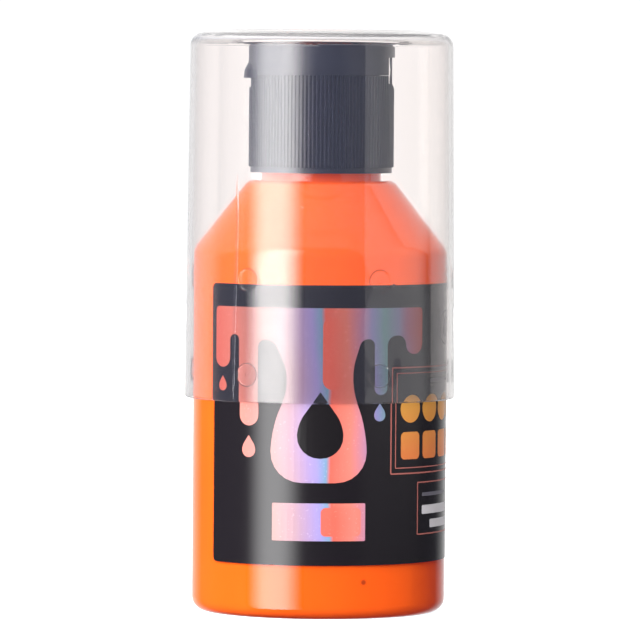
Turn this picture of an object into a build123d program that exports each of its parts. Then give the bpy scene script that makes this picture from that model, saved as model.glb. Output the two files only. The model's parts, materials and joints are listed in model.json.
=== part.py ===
from build123d import *
import os
from math import cos, radians, sin, tan

os.makedirs("parts", exist_ok=True)

# A flip-top paint bottle with a mixing cup turned over its cap. Millimetres, +Z up.
# The origin is the middle of the bottle's base, on the table. The lid's hinge is at +X,
# its thumb tab at -X, and the middle of the label faces -Y.

# ---- driving dimensions: bottle ----
bottle_r = 24.3
bottle_wall = 0.6
base_corner_r = 2.6
base_push_up = 1.6
foot_ring_inner_r = 13.0
shoulder_angle = 38.2
shoulder_top = 82.7
shoulder_land = 2.421
shoulder_low_blend_r = 3.5
shoulder_top_blend_r = 2.0

# ---- driving dimensions: threaded neck ----
neck_height = 17.35
neck_root_r = 10.7
neck_wall = 1.7
neck_bead_rise = 0.8
neck_bead_height = 3.2
thread_pitch = 3.175
thread_turns = 1.5
thread_depth = 1.1
thread_foot_width = 2.1
thread_crest_width = 0.8
thread_drop = 2.0
thread_bury = 0.3

# ---- driving dimensions: paint, label and seals ----
paint_gap = 0.02
paint_above_shoulder = 8.0
label_thickness = 0.1
label_low = 10.35
label_top_margin = 6.15
label_start = 215.0
label_sweep = 310.0
label_corner_r = 1.0
foil_thickness = 0.15
foil_edge_margin = 0.1
liner_thickness = 1.0
liner_width = 3.4
seal_gap = 0.05

# ---- driving dimensions: cap ----
skirt_wall = 1.45
skirt_shoulder_gap = 1.5
skirt_thread_gap = 0.4
thread_side_gap = 0.2
thread_tip_gap = 0.25
band_height = 1.1
band_inset = 0.35
rib_count = 116
rib_depth = 0.28
rib_crest_share = 0.32
rib_root_share = 0.32
deck_thickness = 1.5
moat_depth = 0.6
land_height = 0.7
land_width = 1.6
land_gap = 0.6
moat_gap = 1.1
spout_bore_r = 2.05
spout_wall = 1.25
spout_height = 2.6
spout_lip_r = 0.4
scoop_depth = 0.4
scoop_height = 1.8

# ---- driving dimensions: lid and hinge ----
part_gap = 0.1
lid_overhang = 0.1
lid_height = 6.3
lid_wall = 1.2
lid_top_thickness = 1.2
lid_edge_r = 0.5
plug_gap = 0.25
plug_reach = 1.5
plug_wall = 0.8
plug_chamfer = 0.4
tab_reach = 0.95
tab_half_width = 7.4
tab_height = 3.1
tab_drop = 0.55
tab_lip_gap = 0.2
hinge_set_back = 1.25
hinge_recess_height = 3.4
hinge_ledge_drop = 1.5
hinge_ledge_set_back = 0.6
hinge_chamfer_height = 1.2
strap_thickness = 0.35
strap_width = 1.5
web_width = 3.6
strap_spacing = 3.6
lid_land_wall = 1.1

# ---- driving dimensions: mixing cup ----
cup_side_gap = 0.6
cup_height = 70.55
cup_draft = 0.608
cup_wall = 0.95
cup_floor_thickness = 0.95
cup_floor_gap = 0.05
cup_foot_r = 17.9
cup_foot_width = 0.8
cup_foot_height = 1.35
cup_heel_drop = 0.92
cup_heel_blend_r = 2.5
cup_rim_edge_r = 0.3
pad_r = 2.25
pad_edge_r = 0.3
pad_columns = 6
pad_first_angle = -63.2
pad_rows = (5.2, 23.1)
pad_gap = 0.15
pad_pin_r = 0.4
pad_pin_depth = 0.12

# ---- places that follow from the sizes above ----
neck_top = shoulder_top + neck_height
neck_bead_r = neck_root_r + neck_bead_rise
neck_bore_r = neck_root_r - neck_wall
shoulder_top_r = neck_bead_r + shoulder_land
shoulder_low = shoulder_top - (bottle_r - shoulder_top_r) / tan(radians(shoulder_angle))
thread_crest_r = neck_root_r + thread_depth
thread_high = neck_top - thread_drop
thread_low = thread_high - thread_turns * thread_pitch
label_r = bottle_r + label_thickness
label_height = shoulder_low - label_top_margin - label_low
liner_low = neck_top + foil_thickness + seal_gap
liner_r = thread_crest_r
skirt_bore_r = thread_crest_r + skirt_thread_gap
skirt_r = skirt_bore_r + skirt_wall + rib_depth
deck_low = liner_low + liner_thickness + seal_gap
deck_top = deck_low + deck_thickness
skirt_low = shoulder_top + skirt_shoulder_gap
spout_r = spout_bore_r + spout_wall
lid_r = skirt_r + lid_overhang
lid_low = deck_top + part_gap
lid_top = lid_low + lid_height
lid_ceiling = lid_top - lid_top_thickness
lid_inner_r = lid_r - lid_wall
land_r = lid_inner_r - land_gap
hinge_flat_x = lid_r - hinge_set_back
hinge_ledge_x = lid_r - hinge_ledge_set_back
hinge_ledge_z = deck_top - hinge_ledge_drop
hinge_overhang_z = lid_low + hinge_recess_height
spout_top = deck_top + spout_height
cup_floor_low = lid_top + cup_floor_gap
cup_floor_top = cup_floor_low + cup_floor_thickness
cup_top = cup_floor_top + cup_foot_height
cup_rim_z = cup_top - cup_height
cup_rim_r = label_r + cup_side_gap + cup_wall
clear_of_all = 3 * cup_rim_r


def corner(sketch, r, z):
    """The sketch corner nearest to radius r and height z."""
    return sketch.vertices().sort_by_distance(Vector(r, z, 0))[0]


def vessel_points(inset, throat_r, top):
    """Half section of the bottle, moved in by inset, with a throat of its own radius."""
    half_angle = radians(shoulder_angle / 2)
    top_half_angle = radians((90 - shoulder_angle) / 2)
    return [
        (0, base_push_up + inset),
        (foot_ring_inner_r, inset),
        (bottle_r - inset, inset),
        (bottle_r - inset, shoulder_low - inset * tan(half_angle)),
        (shoulder_top_r - inset * tan(top_half_angle), shoulder_top - inset),
        (throat_r, shoulder_top - inset),
        (throat_r, top),
        (0, top),
    ]


def round_vessel(sketch, points, inset):
    """Rounds the base corner and the two ends of the shoulder."""
    fillet(corner(sketch, *points[2]), radius=base_corner_r - inset)
    fillet(corner(sketch, *points[3]), radius=shoulder_low_blend_r)
    fillet(corner(sketch, *points[4]), radius=shoulder_top_blend_r - inset)


def thread_section(root_r, tip_r, foot_width, crest_width, path_r):
    """Corners of a thread's section about a point of its helix, foot buried in the wall."""
    return [
        (root_r - path_r, -foot_width / 2),
        (tip_r - path_r, -crest_width / 2),
        (tip_r - path_r, crest_width / 2),
        (root_r - path_r, foot_width / 2),
    ]


def rib_points(root_r, crest_r):
    """Outline of the grip ribs round the cap, crest and root in turn."""
    half_pitch = 180 / rib_count
    crest_half = half_pitch * rib_crest_share
    root_half = half_pitch * rib_root_share
    points = []
    for rib in range(rib_count):
        middle = 2 * half_pitch * rib
        crest_side = middle + crest_half
        root_from = middle + half_pitch - root_half
        root_to = middle + half_pitch + root_half
        next_crest = middle + 2 * half_pitch - crest_half
        turns = ((crest_r, crest_side), (root_r, root_from), (root_r, root_to), (crest_r, next_crest))
        for radius, angle in turns:
            points.append((radius * cos(radians(angle)), radius * sin(radians(angle))))
    return points


# ---- bottle body ----
outer_points = vessel_points(0, neck_bead_r, shoulder_top + neck_bead_height)
bore_points = vessel_points(bottle_wall, neck_bore_r, neck_top)
with BuildPart() as bottle_body:
    with BuildSketch(Plane.XZ) as bottle_outside:
        with BuildLine():
            Polyline(*outer_points, close=True)
        make_face()
        round_vessel(bottle_outside, outer_points, 0)
    revolve(axis=Axis.Z)
    with BuildSketch(Plane.XY.offset(shoulder_top)):
        Circle(neck_root_r)
    extrude(amount=neck_height)
    with BuildSketch(Plane.XZ) as bottle_inside:
        with BuildLine():
            Polyline(*bore_points, close=True)
        make_face()
        round_vessel(bottle_inside, bore_points, bottle_wall)
    revolve(axis=Axis.Z, mode=Mode.SUBTRACT)
    with BuildLine():
        neck_helix = Helix(
            pitch=thread_pitch,
            height=thread_turns * thread_pitch,
            radius=neck_root_r,
            center=(0, 0, thread_low),
        )
    with BuildSketch(Plane(neck_helix @ 0, x_dir=(1, 0, 0), z_dir=neck_helix % 0)):
        with BuildLine():
            Polyline(
                *thread_section(
                    neck_root_r - thread_bury,
                    thread_crest_r,
                    thread_foot_width,
                    thread_crest_width,
                    neck_root_r,
                ),
                close=True,
            )
        make_face()
    sweep(path=neck_helix, is_frenet=True)
bottle_body.part.label = "bottle_body"
export_step(bottle_body.part, "parts/bottle_body.step")

# ---- paint that fills the bottle to half way up the neck ----
paint_inset = bottle_wall + paint_gap
paint_points = vessel_points(
    paint_inset, neck_bore_r - paint_gap, shoulder_top + paint_above_shoulder
)
with BuildPart() as paint_fill:
    with BuildSketch(Plane.XZ) as paint_section:
        with BuildLine():
            Polyline(*paint_points, close=True)
        make_face()
        round_vessel(paint_section, paint_points, paint_inset)
    revolve(axis=Axis.Z)
paint_fill.part.label = "paint_fill"
export_step(paint_fill.part, "parts/paint_fill.step")

# ---- label film, wrapped round the bottle with a bare strip at the left ----
with BuildPart() as label_wrap:
    with BuildSketch(Plane.XZ.rotated((0, 0, label_start))):
        with Locations((bottle_r, label_low)):
            Rectangle(label_thickness, label_height, align=(Align.MIN, Align.MIN))
    revolve(axis=Axis.Z, revolution_arc=label_sweep)
    end_edges = label_wrap.edges().filter_by(lambda e: e.length < 2 * label_thickness)
    fillet(end_edges, radius=label_corner_r)
label_wrap.part.label = "label_wrap"
export_step(label_wrap.part, "parts/label_wrap.step")

# ---- foil seal on the neck's rim ----
with BuildPart() as induction_seal:
    with BuildSketch(Plane.XY.offset(neck_top)):
        Circle(neck_root_r - foil_edge_margin)
    extrude(amount=foil_thickness)
induction_seal.part.label = "induction_seal"
export_step(induction_seal.part, "parts/induction_seal.step")

# ---- soft ring that the cap presses on the rim ----
with BuildPart() as sealing_liner:
    with BuildSketch(Plane.XY.offset(liner_low)):
        Circle(liner_r)
        Circle(liner_r - liner_width, mode=Mode.SUBTRACT)
    extrude(amount=liner_thickness)
sealing_liner.part.label = "sealing_liner"
export_step(sealing_liner.part, "parts/sealing_liner.step")

# ---- cap base: ribbed skirt, deck, spout and inside thread ----
cap_thread_tip_r = neck_root_r + thread_tip_gap
flank_run = (thread_foot_width - thread_crest_width) / 2
cap_thread_crest_width = thread_pitch - thread_foot_width - 2 * thread_side_gap
cap_thread_foot_width = cap_thread_crest_width + 2 * flank_run
with BuildPart() as closure_base:
    with BuildSketch(Plane.XY.offset(skirt_low)):
        Circle(skirt_r - band_inset)
    extrude(amount=band_height)
    with BuildSketch(Plane.XY.offset(skirt_low + band_height)):
        with BuildLine():
            Polyline(*rib_points(skirt_r - rib_depth, skirt_r), close=True)
        make_face()
    extrude(amount=deck_top - skirt_low - band_height)
    with BuildSketch(Plane.XY.offset(deck_top)):
        Circle(land_r)
        with Locations((hinge_flat_x - lid_land_wall - land_gap, 0)):
            Rectangle(land_r, 2 * land_r, align=(Align.MIN, Align.CENTER), mode=Mode.SUBTRACT)
        Circle(land_r - land_width, mode=Mode.SUBTRACT)
    extrude(amount=land_height)
    with BuildSketch(Plane.XY.offset(deck_top - moat_depth)):
        Circle(land_r - land_width - land_gap)
        Circle(spout_r + moat_gap, mode=Mode.SUBTRACT)
    extrude(amount=moat_depth, mode=Mode.SUBTRACT)
    with BuildSketch(Plane.XY.offset(deck_top)):
        Circle(spout_r)
    extrude(amount=spout_height)
    spout_lip = closure_base.edges().filter_by(GeomType.CIRCLE).group_by(Axis.Z)[-1]
    fillet(spout_lip, radius=spout_lip_r)
    with BuildSketch(Plane.XY.offset(skirt_low)):
        Circle(skirt_bore_r)
    extrude(amount=deck_low - skirt_low, mode=Mode.SUBTRACT)
    with BuildSketch(Plane.XY.offset(deck_low)):
        Circle(spout_bore_r)
    extrude(amount=spout_top - deck_low, mode=Mode.SUBTRACT)
    with BuildSketch(Plane.XZ):
        with BuildLine():
            Polyline(
                (hinge_flat_x, deck_top),
                (hinge_flat_x, hinge_ledge_z),
                (hinge_ledge_x, hinge_ledge_z),
                (lid_r, hinge_ledge_z - hinge_chamfer_height),
                (clear_of_all, hinge_ledge_z - hinge_chamfer_height),
                (clear_of_all, deck_top),
                close=True,
            )
        make_face()
    extrude(amount=skirt_r, both=True, mode=Mode.SUBTRACT)
    with BuildSketch(Plane.XY.offset(deck_top - tab_drop - scoop_height)):
        with Locations((scoop_depth - skirt_r, 0)):
            Rectangle(skirt_r, 2 * skirt_r, align=(Align.MAX, Align.CENTER))
    extrude(amount=scoop_height, mode=Mode.SUBTRACT)
    with BuildLine():
        cap_helix = Helix(
            pitch=thread_pitch,
            height=thread_turns * thread_pitch,
            radius=skirt_bore_r,
            center=(0, 0, thread_low - thread_pitch / 2),
        )
    with BuildSketch(Plane(cap_helix @ 0, x_dir=(1, 0, 0), z_dir=cap_helix % 0)):
        with BuildLine():
            Polyline(
                *thread_section(
                    skirt_bore_r + thread_bury,
                    cap_thread_tip_r,
                    cap_thread_foot_width,
                    cap_thread_crest_width,
                    skirt_bore_r,
                ),
                close=True,
            )
        make_face()
    sweep(path=cap_helix, is_frenet=True)
closure_base.part.label = "closure_base"
export_step(closure_base.part, "parts/closure_base.step")

# ---- lid: shallow cap with a spout plug, a thumb tab and a recess for the hinge ----
tab_tip_x = lid_r + tab_reach
tab_meets_x = (lid_r**2 - tab_half_width**2) ** 0.5
tab_centre_x = (tab_tip_x**2 - lid_r**2) / (2 * (tab_tip_x - tab_meets_x))
tab_r = tab_tip_x - tab_centre_x
tab_low = deck_top - tab_drop
with BuildPart() as closure_lid:
    with BuildSketch(Plane.XY.offset(lid_low)):
        Circle(lid_r)
    extrude(amount=lid_height)
    lid_edge = closure_lid.edges().filter_by(GeomType.CIRCLE).group_by(Axis.Z)[-1]
    fillet(lid_edge, radius=lid_edge_r)
    with BuildSketch(Plane.XZ):
        with BuildLine():
            Polyline(
                (-tab_centre_x, tab_low),
                (-tab_tip_x, tab_low),
                (-tab_tip_x + tab_reach / 6, tab_low + tab_height / 2),
                (-lid_r, tab_low + tab_height),
                (-tab_centre_x, tab_low + tab_height),
                close=True,
            )
        make_face()
    revolve(axis=Axis((-tab_centre_x, 0, 0), (0, 0, 1)))
    with BuildSketch(Plane.XY.offset(tab_low)):
        Circle(skirt_r + tab_lip_gap)
    extrude(amount=lid_low - tab_low, mode=Mode.SUBTRACT)
    with BuildSketch(Plane.XY.offset(lid_low)):
        with Locations((hinge_flat_x, 0)):
            Rectangle(lid_r, 2 * lid_r, align=(Align.MIN, Align.CENTER))
    extrude(amount=hinge_recess_height, mode=Mode.SUBTRACT)
    with BuildSketch(Plane.XY.offset(lid_low)):
        Circle(lid_inner_r)
        with Locations((hinge_flat_x - lid_land_wall, 0)):
            Rectangle(lid_r, 2 * lid_r, align=(Align.MIN, Align.CENTER), mode=Mode.SUBTRACT)
    extrude(amount=lid_ceiling - lid_low, mode=Mode.SUBTRACT)
    with BuildSketch(Plane.XY.offset(spout_top - plug_reach)):
        Circle(spout_bore_r - plug_gap)
        Circle(spout_bore_r - plug_gap - plug_wall, mode=Mode.SUBTRACT)
    extrude(amount=lid_ceiling - spout_top + plug_reach)
    plug_tip = closure_lid.edges().filter_by(GeomType.CIRCLE)
    plug_tip = plug_tip.sort_by_distance(Vector(0, 0, spout_top - plug_reach)).filter_by(
        lambda e: abs(e.radius - spout_bore_r + plug_gap) < plug_chamfer / 2
    )[0]
    chamfer(plug_tip, length=plug_chamfer)
closure_lid.part.label = "closure_lid"
export_step(closure_lid.part, "parts/closure_lid.step")

# ---- hinge: a middle web and two snap straps between the ledge and the lid's overhang ----
strap_middle_x = hinge_ledge_x - strap_thickness / 2
strap_pieces = (
    ("hinge_web", 0, web_width),
    ("hinge_strap_left", -strap_spacing, strap_width),
    ("hinge_strap_right", strap_spacing, strap_width),
)
for strap_name, strap_y, width in strap_pieces:
    with BuildPart() as strap:
        with BuildSketch(Plane.XY.offset(hinge_ledge_z)):
            with Locations((strap_middle_x, strap_y)):
                Rectangle(strap_thickness, width)
        extrude(amount=hinge_overhang_z - hinge_ledge_z)
        fillet(strap.edges().filter_by(Axis.Z), radius=strap_thickness / 4)
    strap.part.label = strap_name
    export_step(strap.part, "parts/" + strap_name + ".step")

# ---- mixing cup, upside down over the cap, with round pads that grip the bottle ----
draft_run = tan(radians(cup_draft))
heel_z = cup_top - cup_heel_drop
heel_r = cup_rim_r - (heel_z - cup_rim_z) * draft_run
inside_heel_z = heel_z - cup_wall
inside_heel_r = cup_rim_r - cup_wall - (inside_heel_z - cup_rim_z) * draft_run
cup_ring_low = cup_top - cup_wall
with BuildPart() as mixing_cup:
    with BuildSketch(Plane.XZ) as cup_outside:
        with BuildLine():
            Polyline(
                (0, cup_floor_top),
                (cup_foot_r - cup_foot_width - cup_foot_height / 4, cup_floor_top),
                (cup_foot_r - cup_foot_width, cup_top),
                (cup_foot_r, cup_top),
                (heel_r, heel_z),
                (cup_rim_r, cup_rim_z),
                (0, cup_rim_z),
                close=True,
            )
        make_face()
        fillet(corner(cup_outside, heel_r, heel_z), radius=cup_heel_blend_r)
        fillet(corner(cup_outside, cup_rim_r, cup_rim_z), radius=cup_rim_edge_r)
    revolve(axis=Axis.Z)
    with BuildSketch(Plane.XZ) as cup_inside:
        with BuildLine():
            Polyline(
                (0, cup_floor_low),
                (cup_foot_r - cup_foot_width - cup_wall, cup_floor_low),
                (cup_foot_r - cup_foot_width + cup_wall / 2, cup_ring_low),
                (cup_foot_r, cup_ring_low),
                (inside_heel_r, inside_heel_z),
                (cup_rim_r - cup_wall, cup_rim_z),
                (0, cup_rim_z),
                close=True,
            )
        make_face()
        fillet(corner(cup_inside, inside_heel_r, inside_heel_z), radius=cup_heel_blend_r - cup_wall)
    revolve(axis=Axis.Z, mode=Mode.SUBTRACT)
    for row_height in pad_rows:
        pad_z = cup_rim_z + row_height
        pad_root_r = cup_rim_r - cup_wall / 2 - row_height * draft_run
        for column in range(pad_columns):
            pad_angle = radians(pad_first_angle + 360 / pad_columns * column)
            outward = Vector(cos(pad_angle), sin(pad_angle), 0)
            pad_root = outward * pad_root_r + Vector(0, 0, pad_z)
            pad_height = pad_root_r - label_r - pad_gap
            sideways = Vector(-sin(pad_angle), cos(pad_angle), 0)
            with BuildSketch(Plane(pad_root, x_dir=-outward, z_dir=sideways)) as pad_section:
                Rectangle(pad_height, pad_r, align=(Align.MIN, Align.MIN))
                fillet(corner(pad_section, pad_height, pad_r), radius=pad_edge_r)
            revolve(axis=Axis(pad_root, outward))
            pad_face = outward * (label_r + pad_gap) + Vector(0, 0, pad_z)
            with BuildSketch(Plane(pad_face, z_dir=outward)):
                Circle(pad_pin_r)
            extrude(amount=pad_pin_depth, mode=Mode.SUBTRACT)
mixing_cup.part.label = "mixing_cup"
export_step(mixing_cup.part, "parts/mixing_cup.step")
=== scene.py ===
"""A flip-top bottle of orange pouring paint with a clear mixing cup turned over its cap."""

import json
import math

import bpy
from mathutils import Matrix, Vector

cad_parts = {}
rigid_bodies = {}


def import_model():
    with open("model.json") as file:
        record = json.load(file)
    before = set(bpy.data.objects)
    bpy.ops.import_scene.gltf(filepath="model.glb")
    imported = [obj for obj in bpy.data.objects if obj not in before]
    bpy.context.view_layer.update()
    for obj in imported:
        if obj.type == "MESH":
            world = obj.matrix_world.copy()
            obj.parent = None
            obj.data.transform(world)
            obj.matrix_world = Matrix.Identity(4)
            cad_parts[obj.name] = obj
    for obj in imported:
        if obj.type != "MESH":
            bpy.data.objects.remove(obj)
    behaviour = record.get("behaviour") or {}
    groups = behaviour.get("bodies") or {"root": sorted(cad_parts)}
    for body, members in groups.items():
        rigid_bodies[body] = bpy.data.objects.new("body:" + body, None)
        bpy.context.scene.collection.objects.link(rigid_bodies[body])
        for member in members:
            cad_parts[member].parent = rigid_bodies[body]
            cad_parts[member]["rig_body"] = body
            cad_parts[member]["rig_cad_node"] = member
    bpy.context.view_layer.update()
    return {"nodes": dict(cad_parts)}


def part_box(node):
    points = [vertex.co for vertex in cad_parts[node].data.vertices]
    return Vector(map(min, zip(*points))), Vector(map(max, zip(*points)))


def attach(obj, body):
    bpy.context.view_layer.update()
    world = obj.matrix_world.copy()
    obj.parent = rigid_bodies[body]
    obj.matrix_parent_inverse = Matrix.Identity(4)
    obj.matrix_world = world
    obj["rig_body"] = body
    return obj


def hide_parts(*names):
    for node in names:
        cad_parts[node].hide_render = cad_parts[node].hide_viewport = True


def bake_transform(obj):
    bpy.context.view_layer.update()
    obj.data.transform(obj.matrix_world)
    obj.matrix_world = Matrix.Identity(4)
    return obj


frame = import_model()
bpy.ops.object.select_all(action="DESELECT")

MM = 0.001

# ---- places taken from the frame ----
cup_low, cup_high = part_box("mixing_cup")
bottle_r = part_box("bottle_body")[1].y
label_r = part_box("label_wrap")[1].y
cup_r = cup_high.y


# ======== materials ========
def new_material(name):
    """A node material, with its tree and its Principled shader."""
    made = bpy.data.materials.new(name)
    made.use_nodes = True
    tree = made.node_tree
    return made, tree, tree.nodes["Principled BSDF"]


def link(tree, source, target):
    """Joins one node's output to another node's input."""
    tree.links.new(source, target)


def object_place(tree, scale=(1, 1, 1)):
    """A place in the piece's own coordinates, in metres times scale."""
    coords = tree.nodes.new("ShaderNodeTexCoord")
    mapping = tree.nodes.new("ShaderNodeMapping")
    mapping.inputs["Scale"].default_value = scale
    link(tree, coords.outputs["Object"], mapping.inputs["Vector"])
    return mapping.outputs["Vector"]


def noise(tree, vector, scale, detail=2.0, rough=0.5):
    """A cloudy value from 0..1, finer as scale grows."""
    made = tree.nodes.new("ShaderNodeTexNoise")
    made.inputs["Scale"].default_value = scale
    made.inputs["Detail"].default_value = detail
    made.inputs["Roughness"].default_value = rough
    link(tree, vector, made.inputs["Vector"])
    return made.outputs["Fac"]


def remap(tree, value, start, end, low=0.0, high=1.0, smooth=False):
    """A value that runs from low to high as the given one runs from start to end."""
    made = tree.nodes.new("ShaderNodeMapRange")
    if smooth:
        made.interpolation_type = "SMOOTHSTEP"
    made.inputs["From Min"].default_value = start
    made.inputs["From Max"].default_value = end
    made.inputs["To Min"].default_value = low
    made.inputs["To Max"].default_value = high
    link(tree, value, made.inputs["Value"])
    return made.outputs["Result"]


def spread(tree, value, low, high):
    """A value from 0..1 spread between low and high."""
    return remap(tree, value, 0.0, 1.0, low, high)


def colours(tree, value, stops, ease=False):
    """The colour at a value from 0..1, between stops given as place and colour."""
    made = tree.nodes.new("ShaderNodeValToRGB")
    if ease:
        made.color_ramp.interpolation = "EASE"
    for index, (place, colour) in enumerate(stops):
        if index < 2:
            stop = made.color_ramp.elements[index]
            stop.position = place
        else:
            stop = made.color_ramp.elements.new(place)
        stop.color = (*colour, 1)
    link(tree, value, made.inputs["Fac"])
    return made.outputs["Color"]


def math_node(tree, operation, first, second=None):
    """A Math node whose inputs are sockets or numbers."""
    made = tree.nodes.new("ShaderNodeMath")
    made.operation = operation
    for place, value in enumerate((first, second)):
        if isinstance(value, (int, float)):
            made.inputs[place].default_value = value
        elif value is not None:
            link(tree, value, made.inputs[place])
    return made.outputs[0]


def bumps(tree, shader, height, strength, distance):
    """Shades a surface as if it rose with height, by up to the distance in metres."""
    made = tree.nodes.new("ShaderNodeBump")
    made.inputs["Strength"].default_value = strength
    made.inputs["Distance"].default_value = distance
    link(tree, height, made.inputs["Height"])
    link(tree, made.outputs["Normal"], shader.inputs["Normal"])


def let_lamps_through(tree, shader, tint):
    """Light from lamps passes the clear plastic, so what is inside is lit."""
    out = tree.nodes["Material Output"]
    path = tree.nodes.new("ShaderNodeLightPath")
    clear = tree.nodes.new("ShaderNodeBsdfTransparent")
    clear.inputs["Color"].default_value = (*tint, 1)
    mix = tree.nodes.new("ShaderNodeMixShader")
    link(tree, path.outputs["Is Shadow Ray"], mix.inputs["Fac"])
    link(tree, shader.outputs["BSDF"], mix.inputs[1])
    link(tree, clear.outputs["BSDF"], mix.inputs[2])
    link(tree, mix.outputs["Shader"], out.inputs["Surface"])


def round_the_axis(tree):
    """Turn round the bottle's axis from the front, in radians, and height in metres."""
    coords = tree.nodes.new("ShaderNodeTexCoord")
    split = tree.nodes.new("ShaderNodeSeparateXYZ")
    link(tree, coords.outputs["Object"], split.inputs["Vector"])
    facing = math_node(tree, "MULTIPLY", split.outputs["Y"], -1)
    return math_node(tree, "ARCTAN2", split.outputs["X"], facing), split.outputs["Z"]


def clear_plastic(name, tint, edge, ior, wave_scale, wave_depth):
    """Clear moulded plastic, darker where seen edge on, with faint flow waves in its surface."""
    made, tree, shader = new_material(name)
    facing = tree.nodes.new("ShaderNodeLayerWeight")
    facing.inputs["Blend"].default_value = 0.5
    grazing = math_node(tree, "POWER", facing.outputs["Facing"], 3.0)
    edge_tint = [edge * t for t in tint]
    link(tree, colours(tree, grazing, ((0, tint), (1, edge_tint))), shader.inputs["Base Color"])
    shader.inputs["Transmission Weight"].default_value = 1.0
    shader.inputs["IOR"].default_value = ior
    shader.inputs["Roughness"].default_value = 0.015
    waves = noise(tree, object_place(tree, (1, 1, 0.25)), wave_scale, 1.0)
    bumps(tree, shader, waves, 0.35, wave_depth)
    let_lamps_through(tree, shader, [0.47 + t / 2 for t in tint])
    return made


def add_haze(made, colour, share, frosted_from, frosting):
    """A trace of pale haze in a clear plastic, and a frosted part above a height."""
    tree = made.node_tree
    shader = tree.nodes["Principled BSDF"]
    height = round_the_axis(tree)[1]
    frosted = remap(tree, height, frosted_from, frosted_from + 0.5 * MM, smooth=True)
    haze = tree.nodes.new("ShaderNodeBsdfDiffuse")
    pale = (0.8, 0.79, 0.79)
    link(tree, colours(tree, frosted, ((0, colour), (1, pale))), haze.inputs["Color"])
    mix = tree.nodes.new("ShaderNodeMixShader")
    link(tree, spread(tree, frosted, share, frosting), mix.inputs["Fac"])
    target = shader.outputs["BSDF"].links[0].to_socket
    link(tree, shader.outputs["BSDF"], mix.inputs[1])
    link(tree, haze.outputs["BSDF"], mix.inputs[2])
    link(tree, mix.outputs["Shader"], target)


def wet_paint():
    """Fluorescent orange acrylic, lit a little from inside, with streaks and one fleck."""
    made, tree, shader = new_material("orange_pouring_paint")
    cloud = noise(tree, object_place(tree, (1, 1, 0.35)), 90.0, 3.0)
    orange = colours(tree, cloud, ((0.3, (1.0, 0.132, 0.008)), (0.7, (1.0, 0.152, 0.011))))
    turn = math.radians(21)
    depth = bottle_r - 0.8 * MM
    from_fleck = tree.nodes.new("ShaderNodeVectorMath")
    from_fleck.operation = "DISTANCE"
    fleck = (depth * math.sin(turn), -depth * math.cos(turn), 7.1 * MM)
    from_fleck.inputs[1].default_value = fleck
    link(tree, object_place(tree), from_fleck.inputs[0])
    dark = remap(tree, from_fleck.outputs["Value"], 0.35 * MM, 0.75 * MM, 0.8, 0.0)
    mix = tree.nodes.new("ShaderNodeMix")
    mix.data_type = "RGBA"
    mix.inputs["B"].default_value = (0.16, 0.03, 0.01, 1)
    link(tree, dark, mix.inputs["Factor"])
    link(tree, orange, mix.inputs["A"])
    link(tree, mix.outputs["Result"], shader.inputs["Base Color"])
    link(tree, spread(tree, cloud, 0.42, 0.5), shader.inputs["Roughness"])
    shader.inputs["Specular IOR Level"].default_value = 0.0
    shader.inputs["Emission Color"].default_value = (1.0, 0.035, 0.001, 1)
    shader.inputs["Emission Strength"].default_value = 0.28
    return made


def black_film():
    """Satin black label film with a fine print grain."""
    made, tree, shader = new_material("black_label_film")
    grain = noise(tree, object_place(tree), 9000.0, 2.0)
    black = colours(tree, grain, ((0, (0.0042, 0.0034, 0.0046)), (1, (0.0075, 0.006, 0.008))))
    link(tree, black, shader.inputs["Base Color"])
    link(tree, spread(tree, grain, 0.16, 0.24), shader.inputs["Roughness"])
    bumps(tree, shader, grain, 0.05, 0.00001)
    return made


def cap_plastic():
    """Black polypropylene with a fine moulded satin."""
    made, tree, shader = new_material("black_cap_plastic")
    satin = noise(tree, object_place(tree), 2600.0, 3.0)
    flow = noise(tree, object_place(tree), 160.0, 2.0)
    black = colours(tree, flow, ((0, (0.015, 0.0165, 0.028)), (1, (0.022, 0.0245, 0.04))))
    link(tree, black, shader.inputs["Base Color"])
    link(tree, spread(tree, satin, 0.27, 0.36), shader.inputs["Roughness"])
    bumps(tree, shader, satin, 0.12, 0.00002)
    return made


def painted_highlight_plastic():
    """Cap plastic painted pale in streaks: a painted highlight standing in for light caught along
    the hinge bands.
    """
    made, tree, shader = new_material("hinge_painted_highlight_plastic")
    streaks = noise(tree, object_place(tree, (1, 1, 0.3)), 1500.0, 3.0)
    # painted highlight: the pale streaks stand in for light caught on the hinge bands
    painted_highlight = colours(tree, streaks, ((0.35, (0.09, 0.09, 0.1)), (0.65, (0.34, 0.33, 0.36))))
    link(tree, painted_highlight, shader.inputs["Base Color"])
    link(tree, spread(tree, streaks, 0.3, 0.45), shader.inputs["Roughness"])
    bumps(tree, shader, streaks, 0.2, 0.00003)
    return made


def thin_foil():
    """Crinkled foil over the neck."""
    made, tree, shader = new_material("seal_foil")
    crinkle = noise(tree, object_place(tree), 700.0, 3.0)
    shader.inputs["Base Color"].default_value = (0.8, 0.8, 0.82, 1)
    shader.inputs["Metallic"].default_value = 1.0
    link(tree, spread(tree, crinkle, 0.22, 0.4), shader.inputs["Roughness"])
    bumps(tree, shader, crinkle, 0.3, 0.00005)
    return made


def foam():
    """The liner's foamed plastic."""
    made, tree, shader = new_material("liner_foam")
    cells = noise(tree, object_place(tree), 3500.0, 2.0)
    shader.inputs["Base Color"].default_value = (0.86, 0.86, 0.82, 1)
    link(tree, spread(tree, cells, 0.6, 0.85), shader.inputs["Roughness"])
    bumps(tree, shader, cells, 0.4, 0.00004)
    return made


def round_the_label(tree):
    """Distance round the label from its front middle, and height, both in metres."""
    turn, height = round_the_axis(tree)
    return math_node(tree, "MULTIPLY", turn, label_r), height


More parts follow.
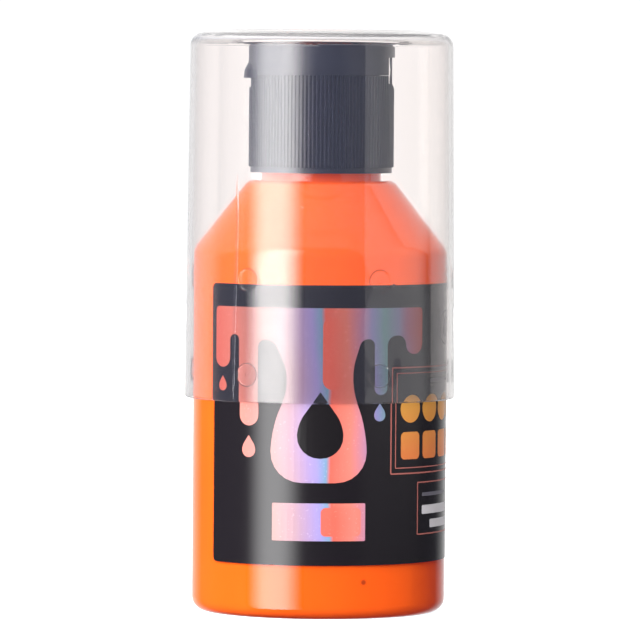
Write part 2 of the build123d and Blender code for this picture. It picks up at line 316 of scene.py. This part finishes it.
def iridescent_foil(name, stops, lean):
    """Foil whose colour drifts round the label, leaning a little with height."""
    made, tree, shader = new_material(name)
    across, height = round_the_label(tree)
    place = math_node(tree, "ADD", across, math_node(tree, "MULTIPLY", height, lean))
    drift = spread(tree, noise(tree, object_place(tree), 60.0, 2.0), -1.6 * MM, 1.6 * MM)
    place = math_node(tree, "ADD", place, drift)
    first, last = stops[0][0], stops[-1][0]
    along = remap(tree, place, first * MM, last * MM)
    fractions = [((where - first) / (last - first), colour) for where, colour in stops]
    link(tree, colours(tree, along, fractions), shader.inputs["Base Color"])
    shader.inputs["Metallic"].default_value = 0.06
    sheen = noise(tree, object_place(tree), 2200.0, 2.0)
    link(tree, spread(tree, sheen, 0.22, 0.3), shader.inputs["Roughness"])
    return made


def ink(name, colour, rough):
    """A printed ink, a little uneven in tone."""
    made, tree, shader = new_material(name)
    speckle = noise(tree, object_place(tree), 4000.0, 2.0)
    dull = [0.85 * c for c in colour]
    link(tree, colours(tree, speckle, ((0, dull), (1, colour))), shader.inputs["Base Color"])
    link(tree, spread(tree, speckle, rough, rough + 0.1), shader.inputs["Roughness"])
    return made


def dab_ink():
    """Dab colours that run from warm yellow at the top to rose at the bottom."""
    made, tree, shader = new_material("dab_ink")
    drift = spread(tree, noise(tree, object_place(tree), 120.0, 2.0), -2 * MM, 2 * MM)
    place = math_node(tree, "ADD", round_the_label(tree)[1], drift)
    along = remap(tree, place, 17 * MM, 42 * MM)
    rose_to_yellow = ((0, (0.42, 0.06, 0.08)), (0.5, (0.58, 0.15, 0.04)), (1, (0.5, 0.24, 0.035)))
    link(tree, colours(tree, along, rose_to_yellow), shader.inputs["Base Color"])
    shader.inputs["Metallic"].default_value = 0.2
    grain = noise(tree, object_place(tree), 3000.0, 2.0)
    link(tree, spread(tree, grain, 0.25, 0.36), shader.inputs["Roughness"])
    return made


cup_plastic = clear_plastic("clear_cup_plastic", (1.0, 0.962, 0.943), 0.7, 1.49, 110.0, 0.000015)
add_haze(cup_plastic, (0.55, 0.66, 1.0), 0.0062, cup_high.z - 2 * MM, 0.1)
bottle_plastic = clear_plastic(
    "clear_bottle_plastic", (0.99, 0.99, 0.985), 1.0, 1.57, 70.0, 0.00002
)
paint = wet_paint()
film = black_film()
cap_black = cap_plastic()
# the hinge bands' material, painted pale as a painted highlight
hinge_painted_highlight = painted_highlight_plastic()
foil_metal = thin_foil()
liner_white = foam()
salmon = (0.48, 0.084, 0.06)
coral = (0.512, 0.144, 0.112)
blush = (0.26, 0.135, 0.125)
pearl = (0.27, 0.165, 0.2)
lilac = (0.26, 0.175, 0.29)
periwinkle = (0.216, 0.181, 0.4)
teal = (0.1, 0.192, 0.208)
drip_foil = iridescent_foil(
    "drip_foil",
    (
        (-21, salmon),
        (-16, coral),
        (-12, (0.34, 0.13, 0.115)),
        (-8, blush),
        (-4, pearl),
        (-1.6, lilac),
        (1, periwinkle),
        (2.8, (0.12, 0.216, 0.32)),
        (3.6, salmon),
        (7.5, coral),
        (10.2, (0.36, 0.16, 0.24)),
        (12.7, (0.168, 0.16, 0.328)),
        (15.3, teal),
        (18.5, (0.16, 0.16, 0.264)),
        (20.5, (0.24, 0.096, 0.16)),
        (24, (0.336, 0.056, 0.044)),
    ),
    0.04,
)
rose_foil = iridescent_foil(
    "rose_foil",
    ((-24, salmon), (0, salmon), (4, (0.512, 0.088, 0.06)), (8, coral), (24, salmon)),
    0.04,
)
pale_ink = ink("pale_ink", (0.42, 0.4, 0.42), 0.35)
grey_ink = ink("grey_ink", (0.085, 0.08, 0.1), 0.3)
black_ink = ink("black_ink", (0.006, 0.005, 0.006), 0.16)
line_foil = ink("line_foil", (0.3, 0.085, 0.07), 0.3)
dabs = dab_ink()

for node, material in (
    ("bottle_body", bottle_plastic),
    ("label_wrap", film),
    ("induction_seal", foil_metal),
    ("sealing_liner", liner_white),
    ("closure_base", cap_black),
    ("closure_lid", cap_black),
    ("mixing_cup", cup_plastic),
):
    frame["nodes"][node].material_slots[0].material = material


# ======== pieces ========
BEND_STRIP = 1.2 * MM
INK_THICKNESS = 0.015 * MM


def keep_only(obj):
    """Selects and activates one object and nothing else."""
    bpy.ops.object.select_all(action="DESELECT")
    obj.select_set(True)
    bpy.context.view_layer.objects.active = obj


def wetted_paint(overlap):
    """The paint swollen just into the bottle's wall, so no air shows between them."""
    body = frame["nodes"]["paint_fill"].copy()
    body.data = body.data.copy()
    body.parent = None
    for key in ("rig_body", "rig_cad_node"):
        del body[key]
    body.name = "paint_body"
    bpy.context.scene.collection.objects.link(body)
    keep_only(body)
    bpy.ops.object.mode_set(mode="EDIT")
    bpy.ops.mesh.select_all(action="SELECT")
    bpy.ops.mesh.remove_doubles(threshold=0.000001)
    bpy.ops.transform.shrink_fatten(value=overlap)
    bpy.ops.object.mode_set(mode="OBJECT")
    bpy.ops.object.shade_smooth_by_angle(angle=math.radians(35))
    body.material_slots[0].material = paint
    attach(body, "bottle")
    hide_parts("paint_fill")


def pick_vertices(obj, test):
    """Leaves obj in edit mode with just the vertices that pass the test selected."""
    keep_only(obj)
    bpy.ops.object.mode_set(mode="EDIT")
    bpy.ops.mesh.select_mode(type="VERT")
    bpy.ops.mesh.select_all(action="DESELECT")
    bpy.ops.object.mode_set(mode="OBJECT")
    for vertex in obj.data.vertices:
        vertex.select = test(vertex.co)
    bpy.ops.object.mode_set(mode="EDIT")


def flat_shape(name, corners):
    """A flat face through corners given as across, up and rounding, in millimetres."""
    bpy.ops.object.select_all(action="DESELECT")
    bpy.ops.mesh.primitive_circle_add(vertices=len(corners), fill_type="NGON")
    shape = bpy.context.object
    shape.name = name
    for vertex, (across, up, rounding) in zip(shape.data.vertices, corners):
        vertex.co = (across * MM, up * MM, 0)
    for rounding in sorted({corner[2] for corner in corners if corner[2]}):
        places = [Vector((c[0] * MM, c[1] * MM, 0)) for c in corners if c[2] == rounding]
        pick_vertices(shape, lambda co: any((co - place).length < 0.01 * MM for place in places))
        bpy.ops.mesh.bevel(offset=rounding * MM, segments=6, affect="VERTICES")
        bpy.ops.object.mode_set(mode="OBJECT")
    return shape


def block(name, left, low, right, high, rounding=0.0):
    """A flat rectangle with rounded corners."""
    sides = ((left, low), (right, low), (right, high), (left, high))
    return flat_shape(name, [(across, up, rounding) for across, up in sides])


def hollow(shape, line):
    """Keeps only a line of the given width along the edge of a flat shape."""
    pick_vertices(shape, lambda co: True)
    bpy.ops.mesh.select_mode(type="FACE")
    bpy.ops.mesh.inset(thickness=line * MM)
    bpy.ops.mesh.delete(type="FACE")
    bpy.ops.object.mode_set(mode="OBJECT")
    return shape


def outline(name, left, low, right, high, rounding, line):
    """The line round a rounded rectangle."""
    shape = block(name, left, low, right, high, rounding)
    return hollow(shape, line)


def disc(name, across, up, radius):
    """A flat round face, in millimetres."""
    bpy.ops.object.select_all(action="DESELECT")
    bpy.ops.mesh.primitive_circle_add(
        vertices=28, radius=radius * MM, fill_type="NGON", location=(across * MM, up * MM, 0)
    )
    shape = bpy.context.object
    shape.name = name
    bpy.ops.object.transform_apply(location=True)
    return shape


def drop(name, across, low, high):
    """A paint drop: round below and pointed above."""
    half = (high - low) * 0.36
    middle = low + half
    corners = (
        (across - half * 0.96, middle + half * 0.42, half * 0.45),
        (across - half, low, half * 0.98),
        (across + half, low, half * 0.98),
        (across + half * 0.96, middle + half * 0.42, half * 0.45),
        (across, high, 0.12),
    )
    return flat_shape(name, corners)


def print_on_label(name, shapes, material, lift):
    """Joins flat shapes, bends them round the bottle and gives them an ink's thickness."""
    keep_only(shapes[0])
    for shape in shapes:
        shape.select_set(True)
    if len(shapes) > 1:
        bpy.ops.object.join()
    piece = bpy.context.view_layer.objects.active
    piece.name = name
    places = [vertex.co.x for vertex in piece.data.vertices]
    bpy.ops.object.mode_set(mode="EDIT")
    for cut in range(math.ceil(min(places) / BEND_STRIP), math.ceil(max(places) / BEND_STRIP)):
        bpy.ops.mesh.select_all(action="SELECT")
        bpy.ops.mesh.bisect(plane_co=(cut * BEND_STRIP, 0, 0), plane_no=(1, 0, 0))
    bpy.ops.object.mode_set(mode="OBJECT")
    radius = label_r + lift
    for vertex in piece.data.vertices:
        turn = vertex.co.x / label_r
        vertex.co = (radius * math.sin(turn), -radius * math.cos(turn), vertex.co.y)
    keep_only(piece)
    faces = piece.data.polygons
    outward = [face.normal.x * face.center.x + face.normal.y * face.center.y for face in faces]
    inward = [face for face, away in zip(faces, outward) if away < 0]
    bpy.ops.object.mode_set(mode="EDIT")
    bpy.ops.mesh.select_mode(type="FACE")
    bpy.ops.mesh.select_all(action="DESELECT")
    bpy.ops.object.mode_set(mode="OBJECT")
    for face in inward:
        face.select = True
    bpy.ops.object.mode_set(mode="EDIT")
    bpy.ops.mesh.flip_normals()
    bpy.ops.object.mode_set(mode="OBJECT")
    thick = piece.modifiers.new("ink_thickness", "SOLIDIFY")
    thick.thickness = INK_THICKNESS
    thick.offset = 1
    bpy.ops.object.modifier_apply(modifier=thick.name)
    piece.data.materials.clear()
    piece.data.materials.append(material)
    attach(piece, "bottle")


wetted_paint(0.05 * MM)


# ======== cup details ========
CUP_DRAFT = math.tan(math.radians(0.608))
OFF_THE_WALL = 0.004 * MM
FLOW_LINE_HEIGHT = 0.05 * MM
FLOW_LINE_LEAN = 0.5


def on_cup(turn, proud, height):
    """A place just off the cup's tapered wall, turned round from the front."""
    radius = cup_r - (height - cup_low.z) * CUP_DRAFT + proud
    return radius * math.sin(turn), -radius * math.cos(turn), height


def finish_cup_piece(piece):
    """Gives a piece the cup's plastic and lets it move with the cup."""
    keep_only(piece)
    bpy.ops.object.shade_smooth_by_angle(angle=math.radians(50))
    piece.data.materials.clear()
    piece.data.materials.append(cup_plastic)
    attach(piece, "cup")


def flow_line(name, turn, low, high, half_width):
    """A fine moulded flow line up the cup's wall, crowned and leaning a little."""
    bpy.ops.object.select_all(action="DESELECT")
    bpy.ops.mesh.primitive_cube_add(size=2)
    line = bpy.context.object
    line.name = name
    bpy.ops.object.mode_set(mode="EDIT")
    slices = 30
    for step in range(1, slices):
        bpy.ops.mesh.select_all(action="SELECT")
        bpy.ops.mesh.bisect(plane_co=(0, 0, -1 + 2 * step / slices), plane_no=(0, 0, 1))
    for across in (-0.85, -0.5, 0, 0.5, 0.85):
        bpy.ops.mesh.select_all(action="SELECT")
        bpy.ops.mesh.bisect(plane_co=(across, 0, 0), plane_no=(1, 0, 0))
    bpy.ops.object.mode_set(mode="OBJECT")
    for vertex in line.data.vertices:
        across, inward, up = vertex.co
        height = low + (high - low) * (up + 1) / 2
        taper = 1 - 0.75 * up**6
        lean = FLOW_LINE_LEAN * (height - low) + 0.003 * math.sin(up * 4.5)
        crown = 1 - 0.8 * across**2
        proud = OFF_THE_WALL + (1 - inward) / 2 * FLOW_LINE_HEIGHT * crown
        vertex.co = on_cup(turn + lean + across * taper * half_width, proud, height)
    finish_cup_piece(line)


def bubbles(name, places):
    """Small blisters in the cup's wall, given as turn in degrees, height and size in mm."""
    beads = []
    for turn, height, size in places:
        bpy.ops.object.select_all(action="DESELECT")
        bpy.ops.mesh.primitive_ico_sphere_add(subdivisions=3, radius=1)
        bead = bpy.context.object
        for vertex in bead.data.vertices:
            across, inward, up = vertex.co
            proud = OFF_THE_WALL + 0.3 * size * MM * (1 - inward) / 2
            around = math.radians(turn) + across * size * MM / cup_r
            vertex.co = on_cup(around, proud, (height + up * size * 1.2) * MM)
        beads.append(bead)
    keep_only(beads[0])
    for bead in beads:
        bead.select_set(True)
    bpy.ops.object.join()
    piece = bpy.context.view_layer.objects.active
    piece.name = name
    finish_cup_piece(piece)


flow_line("flow_line", math.radians(-39.2), cup_low.z + 0.6 * MM, 84 * MM, 0.014)
bubbles("blisters", ((32.7, 63.3, 0.3), (21.3, 60.8, 0.22), (-8, 78, 0.16), (140, 70, 0.25)))


# ======== hinge ========
HINGE_EDGE = 0.08 * MM
WAIST_REACH = 0.45


def hinge_band(name, node, waist):
    """A moulded band between cap and lid, thinned at the fold."""
    low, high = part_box(node)
    middle = (low + high) / 2
    size = high - low
    bpy.ops.object.select_all(action="DESELECT")
    bpy.ops.mesh.primitive_cube_add(size=1, location=middle)
    band = bpy.context.object
    band.name = name
    band.scale = size
    bpy.ops.object.transform_apply(location=True, rotation=False, scale=True)
    bpy.ops.object.mode_set(mode="EDIT")
    bpy.ops.mesh.select_all(action="SELECT")
    bpy.ops.mesh.bevel(offset=HINGE_EDGE, segments=3)
    slices = 18
    for step in range(1, slices):
        bpy.ops.mesh.select_all(action="SELECT")
        cut = low.z + size.z * step / slices
        bpy.ops.mesh.bisect(plane_co=(0, 0, cut), plane_no=(0, 0, 1))
    bpy.ops.object.mode_set(mode="OBJECT")
    for vertex in band.data.vertices:
        from_fold = (vertex.co.z - middle.z) / (size.z / 2)
        keep = 1 - (1 - waist) * math.exp(-((from_fold / WAIST_REACH) ** 2))
        vertex.co.x = high.x + (vertex.co.x - high.x) * keep
        vertex.co.y = middle.y + (vertex.co.y - middle.y) * (0.5 + keep / 2)
    keep_only(band)
    bpy.ops.object.shade_smooth_by_angle(angle=math.radians(40))
    # the bands carry the pale painted highlight
    band.data.materials.append(hinge_painted_highlight)
    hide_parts(node)
    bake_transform(band)


hinge_band("middle_band", "hinge_web", 0.5)
hinge_band("left_band", "hinge_strap_left", 0.6)
hinge_band("right_band", "hinge_strap_right", 0.6)


# ======== label print ========
LIFT = 0.01 * MM
TOP_LIFT = LIFT * 3
pour = flat_shape(
    "pour",
    (
        (-22.2, 47.5, 1.85),
        (-18.4, 47.5, 1.85),
        (-18.4, 53.8, 1.05),
        (-16.2, 53.8, 1.05),
        (-16.2, 36.6, 2.05),
        (-12.0, 36.6, 2.05),
        (-12.0, 53.0, 1.55),
        (-8.8, 53.0, 1.55),
        (-5.2, 45.4, 4.0),
        (-9.4, 35.8, 4.0),
        (-9.4, 26.0, 6.0),
        (9.2, 26.0, 6.0),
        (9.2, 35.8, 4.0),
        (5.6, 45.4, 4.0),
        (8.0, 53.2, 1.2),
        (10.6, 53.2, 1.25),
        (10.6, 42.6, 1.3),
        (13.3, 42.6, 1.3),
        (13.3, 53.8, 1.9),
        (17.6, 53.8, 1.9),
        (17.6, 50.2, 2.1),
        (21.9, 50.2, 2.1),
        (21.9, 59.05, 0.9),
        (-22.2, 59.05, 0.9),
    ),
)
print_on_label(
    "pour_print",
    [
        pour,
        drop("left_drop", -14.1, 30.6, 34.8),
        drop("far_left_drop", -20.3, 43.0, 45.9),
        drop("right_drop", 11.9, 37.6, 41.0),
        block("dab_bar", -9, 15.0, 9, 22.15, 0.25),
    ],
    drip_foil,
    LIFT,
)
print_on_label(
    "rose_print",
    [
        block("rose_stream", 0.6, 43.6, 4.5, 57.4, 1.9),
        block("rose_dab", 0.4, 15.9, 8.1, 21.3, 0.9),
    ],
    rose_foil,
    TOP_LIFT,
)
print_on_label(
    "cut_out_print",
    [drop("drop_cut", 0.2, 30.6, 43.2)],
    black_ink,
    TOP_LIFT,
)
print_on_label(
    "frame_print",
    [
        outline("outer_frame", 14.3, 27.4, 47.0, 47.8, 0.3, 0.26),
        outline("inner_frame", 15.4, 28.5, 45.9, 46.7, 0.2, 0.2),
        outline("small_frame", 21.3, 15.7, 47.0, 25.8, 0.2, 0.24),
        outline("back_frame", 54.0, 14.4, 103.0, 58.6, 1.2, 0.26),
    ],
    line_foil,
    LIFT,
)
dab_places = [19.3 + 6.1 * column for column in range(5)]
print_on_label(
    "dab_print",
    [disc(f"round_dab_{index}", across, 39.8, 2.65) for index, across in enumerate(dab_places)]
    + [
        block(f"square_dab_{index}", across - 2.5, 30.2, across + 2.5, 35.4, 0.9)
        for index, across in enumerate(dab_places)
    ]
    + [disc(f"back_dab_{index}", 59.5 + 6.2 * index, 20.5, 2.4) for index in range(4)],
    dabs,
    LIFT,
)
print_on_label(
    "pale_print",
    [
        block("heading_rule", 22.8, 19.6, 36.5, 21.3, 0.3),
        block("heading_rule_low", 25.6, 16.9, 35.0, 18.5, 0.3),
        block("back_heading", 58.0, 54.2, 82.0, 56.0, 0.4),
        block("back_panel", 86.5, 16.5, 100.0, 26.5, 0.5),
    ],
    pale_ink,
    LIFT,
)
rule_ends = (98.0, 95.5, 97.0, 88.5, 97.5, 94.0, 96.5, 79.0)
print_on_label(
    "grey_print",
    [
        hollow(disc("seal_ring", 31.6, 54.9, 3.3), 0.22),
        drop("seal_drop", 31.6, 53.2, 57.0),
        block("small_rule", 22.8, 23.0, 33.5, 23.7, 0.2),
        block("top_rule", 24.5, 44.7, 38.5, 45.4, 0.2),
    ]
    + [
        block(f"back_rule_{index}", 58.0, 50.6 - 2.9 * index, end, 51.4 - 2.9 * index, 0.2)
        for index, end in enumerate(rule_ends)
    ],
    grey_ink,
    LIFT,
)
bar_places = ((87.6, 0.5), (88.7, 0.25), (89.6, 0.7), (91.0, 0.25), (91.8, 0.45), (93.0, 0.8))
bar_places += ((94.5, 0.25), (95.3, 0.5), (96.5, 0.25), (97.3, 0.7), (98.6, 0.3))
print_on_label(
    "bar_print",
    [
        block(f"bar_{index}", left, 17.5, left + width, 25.5)
        for index, (left, width) in enumerate(bar_places)
    ],
    black_ink,
    TOP_LIFT,
)


# ======== studio ========
def studio_world():
    """White straight behind the object, and a dim room with a pale back for reflections."""
    world = bpy.data.worlds.new("studio")
    bpy.context.scene.world = world
    world.use_nodes = True
    tree = world.node_tree
    tree.nodes.clear()
    out = tree.nodes.new("ShaderNodeOutputWorld")
    seen = tree.nodes.new("ShaderNodeBackground")
    seen.inputs["Color"].default_value = (1, 1, 1, 1)
    seen.inputs["Strength"].default_value = 1.07
    room = tree.nodes.new("ShaderNodeBackground")
    room.inputs["Strength"].default_value = 1.0
    coords = tree.nodes.new("ShaderNodeTexCoord")
    split = tree.nodes.new("ShaderNodeSeparateXYZ")
    link(tree, coords.outputs["Generated"], split.inputs["Vector"])
    path = tree.nodes.new("ShaderNodeLightPath")
    along = remap(tree, split.outputs["Y"], -1.0, 1.0)
    upward = math_node(tree, "MAXIMUM", split.outputs["Z"], 0.0)
    overhead = math_node(tree, "ADD", math_node(tree, "MULTIPLY", upward, 0.35), 0.28)
    wider = math_node(tree, "MULTIPLY", path.outputs["Is Transmission Ray"], overhead)
    place = math_node(tree, "ADD", along, wider)
    dim_to_pale = ((0.85, (0.1, 0.1, 0.12)), (0.98, (0.95, 0.95, 0.95)))
    link(tree, colours(tree, place, dim_to_pale), room.inputs["Color"])
    bounced = math_node(
        tree, "ADD", path.outputs["Diffuse Depth"], path.outputs["Glossy Depth"]
    )
    straight = math_node(tree, "SUBTRACT", path.outputs["Is Transmission Ray"], bounced)
    seen_white = math_node(tree, "MAXIMUM", path.outputs["Is Camera Ray"], straight)
    mix = tree.nodes.new("ShaderNodeMixShader")
    link(tree, seen_white, mix.inputs["Fac"])
    link(tree, room.outputs["Background"], mix.inputs[1])
    link(tree, seen.outputs["Background"], mix.inputs[2])
    link(tree, mix.outputs["Shader"], out.inputs["Surface"])


def aim(obj, target):
    """Turns a lamp, panel or camera to face a place."""
    obj.rotation_euler = (Vector(target) - obj.location).to_track_quat("-Z", "Y").to_euler()


def studio_place(azimuth, distance, height):
    """A place round the object: azimuth 0 is in front and 90 to the right."""
    turn = math.radians(azimuth)
    return distance * math.sin(turn), -distance * math.cos(turn), height


def lamp(name, azimuth, height, distance, size, watts, target_z=0.055):
    """A soft square lamp that lights the object without showing in it."""
    data = bpy.data.lights.new(name, "AREA")
    data.shape = "RECTANGLE"
    data.size, data.size_y = size
    data.energy = watts
    lit = bpy.data.objects.new(name, data)
    bpy.context.scene.collection.objects.link(lit)
    lit.location = studio_place(azimuth, distance, height)
    aim(lit, (0, 0, target_z))
    lit.visible_camera = False
    lit.visible_glossy = False
    lit.visible_transmission = False


def softbox(name, azimuth, distance, width, height, middle_z, strength, soft_left, soft_right):
    """A glowing panel that the camera doesn't see, its sides faded by the given shares."""
    bpy.ops.mesh.primitive_plane_add(size=1)
    panel = bpy.context.object
    panel.name = name
    panel.scale = (width, height, 1)
    bpy.ops.object.transform_apply(location=False, rotation=False, scale=True)
    panel.location = studio_place(azimuth, distance, middle_z)
    aim(panel, (0, 0, middle_z))
    glow = bpy.data.materials.new(name + "_glow")
    glow.use_nodes = True
    tree = glow.node_tree
    tree.nodes.clear()
    out = tree.nodes.new("ShaderNodeOutputMaterial")
    light = tree.nodes.new("ShaderNodeEmission")
    coords = tree.nodes.new("ShaderNodeTexCoord")
    split = tree.nodes.new("ShaderNodeSeparateXYZ")
    link(tree, coords.outputs["Object"], split.inputs["Vector"])
    across = remap(tree, split.outputs["X"], -width / 2, width / 2)
    dark, bright = (0, 0, 0), (1, 1, 1)
    full_from, full_to = max(soft_left, 0.001), 1 - max(soft_right, 0.001)
    fade = ((0, dark), (full_from, bright), (full_to, bright), (1, dark))
    link(tree, colours(tree, across, fade, ease=True), light.inputs["Color"])
    light.inputs["Strength"].default_value = strength
    link(tree, light.outputs["Emission"], out.inputs["Surface"])
    panel.data.materials.append(glow)
    panel.visible_camera = False
    panel.visible_shadow = False


def pale_floor():
    """A white table that glows for the camera and lights the object only a little."""
    bpy.ops.mesh.primitive_plane_add(size=6, location=(0, 0, 0))
    floor = bpy.context.object
    floor.name = "floor"
    made, tree, shader = new_material("pale_floor")
    shader.inputs["Base Color"].default_value = (0.6, 0.6, 0.6, 1)
    shader.inputs["Roughness"].default_value = 0.9
    shader.inputs["Emission Color"].default_value = (1, 1, 1, 1)
    path = tree.nodes.new("ShaderNodeLightPath")
    glow = spread(tree, path.outputs["Is Camera Ray"], 0.12, 0.93)
    link(tree, glow, shader.inputs["Emission Strength"])
    floor.data.materials.append(made)
    floor.visible_glossy = False
    floor.visible_transmission = False


def camera():
    """Level with the cap's top and well back, so the sides stay nearly parallel."""
    data = bpy.data.cameras.new("camera")
    data.lens = 366
    data.sensor_width = 36
    data.clip_start = 0.05
    data.clip_end = 20
    eye = bpy.data.objects.new("camera", data)
    bpy.context.scene.collection.objects.link(eye)
    eye.location = (0, -1.25, 0.1082)
    aim(eye, (0, 0, 0.0558))
    eye.rotation_euler.rotate_axis("Z", math.radians(0.42))
    bpy.context.scene.camera = eye


studio_world()
pale_floor()
softbox("left_softbox", -40.5, 0.8, 0.84, 1.6, 0.3, 7.4, 0.42, 0.42)
softbox("right_card", 75, 0.8, 1.2, 1.6, 0.8, 0.8, 0.0, 0.3)
lamp("front_fill", -14, 0.35, 1.2, (0.8, 0.8), 22.0)
lamp("left_fill", -84, 0.3, 1.2, (0.8, 0.8), 34.0)
lamp("back_fill", 170, 0.5, 1.3, (0.9, 0.9), 26.0)
lamp("top_fill", 0, 1.2, 0.3, (0.8, 0.8), 5.0)
camera()
scene = bpy.context.scene
scene.view_settings.view_transform = "Standard"
scene.cycles.max_bounces = 24
scene.cycles.transmission_bounces = 20
scene.cycles.transparent_max_bounces = 24
scene.cycles.caustics_reflective = False
scene.cycles.caustics_refractive = False
